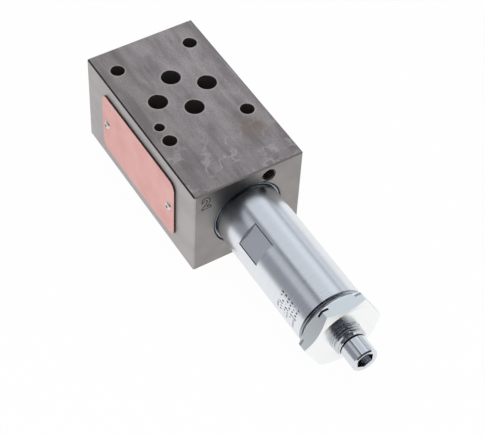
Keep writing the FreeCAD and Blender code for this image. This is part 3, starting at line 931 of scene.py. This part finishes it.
# %% [markdown]
# ## The lock nut
#
# The nut keeps the shape of its solid. A copy of that mesh has its loose triangles merged
# and its gentle edges smoothed, so that its chamfers reflect as one turned surface. Its
# back corners are also turned off at 45 degrees, cut here with three planes a corner: one
# at the corner itself and one to each side of it.

# %% The lock nut, with its back corners turned off
back_circle = 14.3 * mm
side_cut = 12


def make_nut():
    shape = bmesh.new()
    shape.from_mesh(frame["nodes"]["lock_nut"].data)
    bmesh.ops.remove_doubles(shape, verts=shape.verts, dist=hair)
    bmesh.ops.dissolve_limit(
        shape, angle_limit=radians(0.5), verts=shape.verts, edges=shape.edges
    )
    for degrees in [corner + turn for corner in range(0, 360, 60) for turn in (-side_cut, 0, side_cut)]:
        outward = Vector((0, cos(radians(degrees)), sin(radians(degrees))))
        bmesh.ops.bisect_plane(
            shape, geom=list(shape.verts) + list(shape.edges) + list(shape.faces),
            dist=hair, plane_co=axis + along * nut_low.x + outward * back_circle,
            plane_no=(outward - along).normalized(), clear_outer=True,
        )
        open_edges = [edge for edge in shape.edges if edge.is_boundary]
        bmesh.ops.holes_fill(shape, edges=open_edges, sides=0)
    finish_piece(
        shape, "plated_lock_nut", [nut_finish], "nut", ["lock_nut"], radians(20),
    )


make_nut()

# %% [markdown]
# ## A stamped numeral
#
# A plain 2 is struck into the end face, beside the tube, as a station number. The walls
# of a struck mark lie in shade and its floor is as pale as the face, so two thin copies of the
# numeral are laid on the face: a bold one painted dark as shade, and a thinner pale one on top of it.

# %% The numeral
numeral_size = 7.5 * mm
numeral_place = Vector((0, -19.5 * mm, 32.3 * mm))


def make_numeral(name, boldness, lift_by, material):
    text = bpy.data.curves.new(name, "FONT")
    text.body = "2"
    text.size = numeral_size
    text.offset = boldness
    text.extrude = lift_by / 2
    holder = bpy.data.objects.new(name + "_text", text)
    bpy.context.scene.collection.objects.link(holder)
    bpy.context.view_layer.update()
    mesh = bpy.data.meshes.new_from_object(holder)
    bpy.data.objects.remove(holder)
    shape = bmesh.new()
    shape.from_mesh(mesh)
    upright = Matrix.Rotation(pi / 2, 4, "Z") @ Matrix.Rotation(pi / 2, 4, "X")
    seat = Matrix.Translation(numeral_place + along * (face_x + lift_by / 2))
    bmesh.ops.transform(shape, matrix=seat @ upright, verts=shape.verts)
    bmesh.ops.remove_doubles(shape, verts=shape.verts, dist=hair)
    finish_piece(shape, name, [material], "block_and_housing")


# The numeral's walls are painted dark as shade
struck_wall_shade = make_soft("painted_struck_wall_shade", "1c1a19", "282524", 0.6, 2 * mm)
struck_floor = make_soft("struck_floor", "85827e", "928f8b", 0.5, 2 * mm)
make_numeral("numeral_wall_shade", 0.4 * mm, 0.02 * mm, struck_wall_shade)
make_numeral("numeral_floor", 0.0, 0.04 * mm, struck_floor)

# %% [markdown]
# ## The studio
#
# The floor is a plain white sheet. To the camera, and in mirrors and glass, it is nearly
# white by itself, and the rest of it is an ordinary pale surface that keeps the soft
# shadow of the object. Mirrors show more of that shadow than the camera does.

# %% Floor
sheet_size = 6.0
sheet_drop = 0.2 * mm


def start_studio_tree(owner):
    """An empty node tree for a material or a world, and a mask of the rays that look at it."""
    owner.use_nodes = True
    tree = owner.node_tree
    tree.nodes.clear()
    rays = add(tree, "LightPath").outputs
    direct = add(tree, "Math", [rays["Is Camera Ray"], rays["Is Glossy Ray"]], operation="MAXIMUM")
    seen = add(tree, "Math", [direct, rays["Is Transmission Ray"]], operation="MAXIMUM")
    return tree, rays["Is Camera Ray"], seen


def make_floor():
    material = bpy.data.materials.new("white_sheet")
    tree, by_camera, seen = start_studio_tree(material)
    matt = add(tree, "BsdfDiffuse", {"Color": "e8e8e8"})
    white = add(tree, "Emission", {"Color": "ffffff", "Strength": 1.0})
    strength = add(tree, "MapRange", [by_camera, 0.0, 1.0, 0.85, 0.97])
    share = add(tree, "Math", [seen, strength], operation="MULTIPLY")
    add(tree, "OutputMaterial", {"Surface": add(tree, "MixShader", [share, matt, white])})
    shape = bmesh.new()
    bmesh.ops.create_grid(
        shape, x_segments=1, y_segments=1, size=sheet_size,
        matrix=Matrix.Translation((0, 0, -sheet_drop)),
    )
    floor = to_object(shape, "floor", [material])


make_floor()
print("laid the white sheet")

# %% [markdown]
# A mirror-like tube shows whatever surrounds it. Photographers shape its streaks with
# cards: grey and pale boards along the tube that the camera doesn't see. Each card here is
# a strip of a wide cylinder about the tube, between two angles measured from +Y over the
# top, and glows at a set level in reflections only, so it adds no light to the object. A
# dark canopy and a grey board stand in front, because the end face mirrors a dark room.

# %% How to hang a card
def make_glow(name, hex_value):
    material = bpy.data.materials.new(name)
    material.use_nodes = True
    tree = material.node_tree
    tree.nodes.clear()
    glow = add(tree, "Emission", {"Color": hex_value, "Strength": 1.0})
    add(tree, "OutputMaterial", {"Surface": glow})
    return material


def hang_card(shape, name, hex_value):
    """Makes a card of a bmesh, which only reflections show."""
    card = to_object(shape, name, [make_glow(name, hex_value)])
    card.visible_camera = False
    card.visible_diffuse = False
    card.visible_shadow = False
    card.visible_transmission = False
    card.visible_volume_scatter = False


def make_card(name, hex_value, angles, distance, ends=(-1.2, 0.15)):
    """A strip between two angles in degrees, this far from the tube, along X between ends."""
    shape = bmesh.new()
    start = radians(angles[0])
    rim = [
        shape.verts.new(axis + Vector((x, distance * cos(start), distance * sin(start))))
        for x in ends
    ]
    bmesh.ops.spin(
        shape, geom=rim + [shape.edges.new(rim)], cent=axis, axis=along,
        angle=radians(angles[1] - angles[0]), steps=16,
    )
    hang_card(shape, name, hex_value)


def make_board(name, hex_value, x, width, bottom, top):
    """An upright board across the X axis, between two heights."""
    shape = bmesh.new()
    corners = [(x, y, z) for y, z in (
        (-width / 2, bottom), (width / 2, bottom), (width / 2, top), (-width / 2, top))]
    shape.faces.new([shape.verts.new(corner) for corner in corners])
    hang_card(shape, name, hex_value)


# %% The cards
far = 0.5
near = 0.16
cards = [
    ("overhead_low_card", "d0d4da", (6, 22), far),
    ("overhead_right_card", "e6eaef", (22, 33), far),
    ("overhead_line_card", "989ea7", (33, 42), far),
    ("overhead_middle_card", "e9eef4", (42, 66), far),
    ("overhead_left_card", "d5dae1", (66, 100), far),
    ("streak_card", "70737b", (105, 119), far),
    ("shoulder_card", "c3c6cd", (119, 142), far),
    ("side_card", "94979e", (142, 178), near),
    ("low_side_card", "b2b5bb", (178, 191), near),
    ("front_canopy", "191a1c", (60, 182), far, (0.17, 1.0)),
]
for card in cards:
    make_card(*card)
make_board("front_board", "4a4b4e", x=0.55, width=1.2, bottom=0.06, top=0.7)
print("hung", len(cards), "cards and a board")

# %% [markdown]
# The light is plain and soft: an even sky that lights from all round, and one large lamp
# above for a gentle fall of shade. The sky is white to the camera and in reflections.

# %% Light
lamp_target = Vector((0.03, 0, 0.02))


def make_sky():
    world = bpy.data.worlds.new("even_sky")
    bpy.context.scene.world = world
    tree, _, seen = start_studio_tree(world)
    soft = add(tree, "Background", {"Color": "ffffff", "Strength": 0.7})
    white = add(tree, "Background", {"Color": "ffffff", "Strength": 1.0})
    add(tree, "OutputWorld", {"Surface": add(tree, "MixShader", [seen, soft, white])})


def make_lamp(name, place, size, power):
    """A square lamp that faces the middle of the object. Mirrors don't show it."""
    light = bpy.data.lights.new(name, "AREA")
    light.size = size
    light.energy = power
    lamp = bpy.data.objects.new(name, light)
    lamp.location = place
    lamp.rotation_euler = (Vector(place) - lamp_target).to_track_quat("Z", "Y").to_euler()
    bpy.context.scene.collection.objects.link(lamp)
    lamp.visible_glossy = False


make_sky()
make_lamp("soft_lamp", (0.22, -0.12, 0.65), size=0.6, power=1.6)
bpy.context.scene.view_settings.view_transform = "Standard"
print("lit by the sky and one lamp")

# %% [markdown]
# The camera stands where the photographer stood: high, in front of the cartridge end. Its
# place and turn were worked out from the corners of the block and the bolt pattern.

# %% Camera
camera_place = (0.34539, -0.20143, 0.438645)
camera_turn = (40.32, -2.065, 58.585)
camera_data = bpy.data.cameras.new("camera")
camera_data.lens = 113.5
camera_data.sensor_width = 36
camera = bpy.data.objects.new("camera", camera_data)
camera.location = camera_place
camera.rotation_euler = [radians(angle) for angle in camera_turn]
bpy.context.scene.collection.objects.link(camera)
bpy.context.scene.camera = camera
print("camera at", tuple(round(value, 3) for value in camera.location))
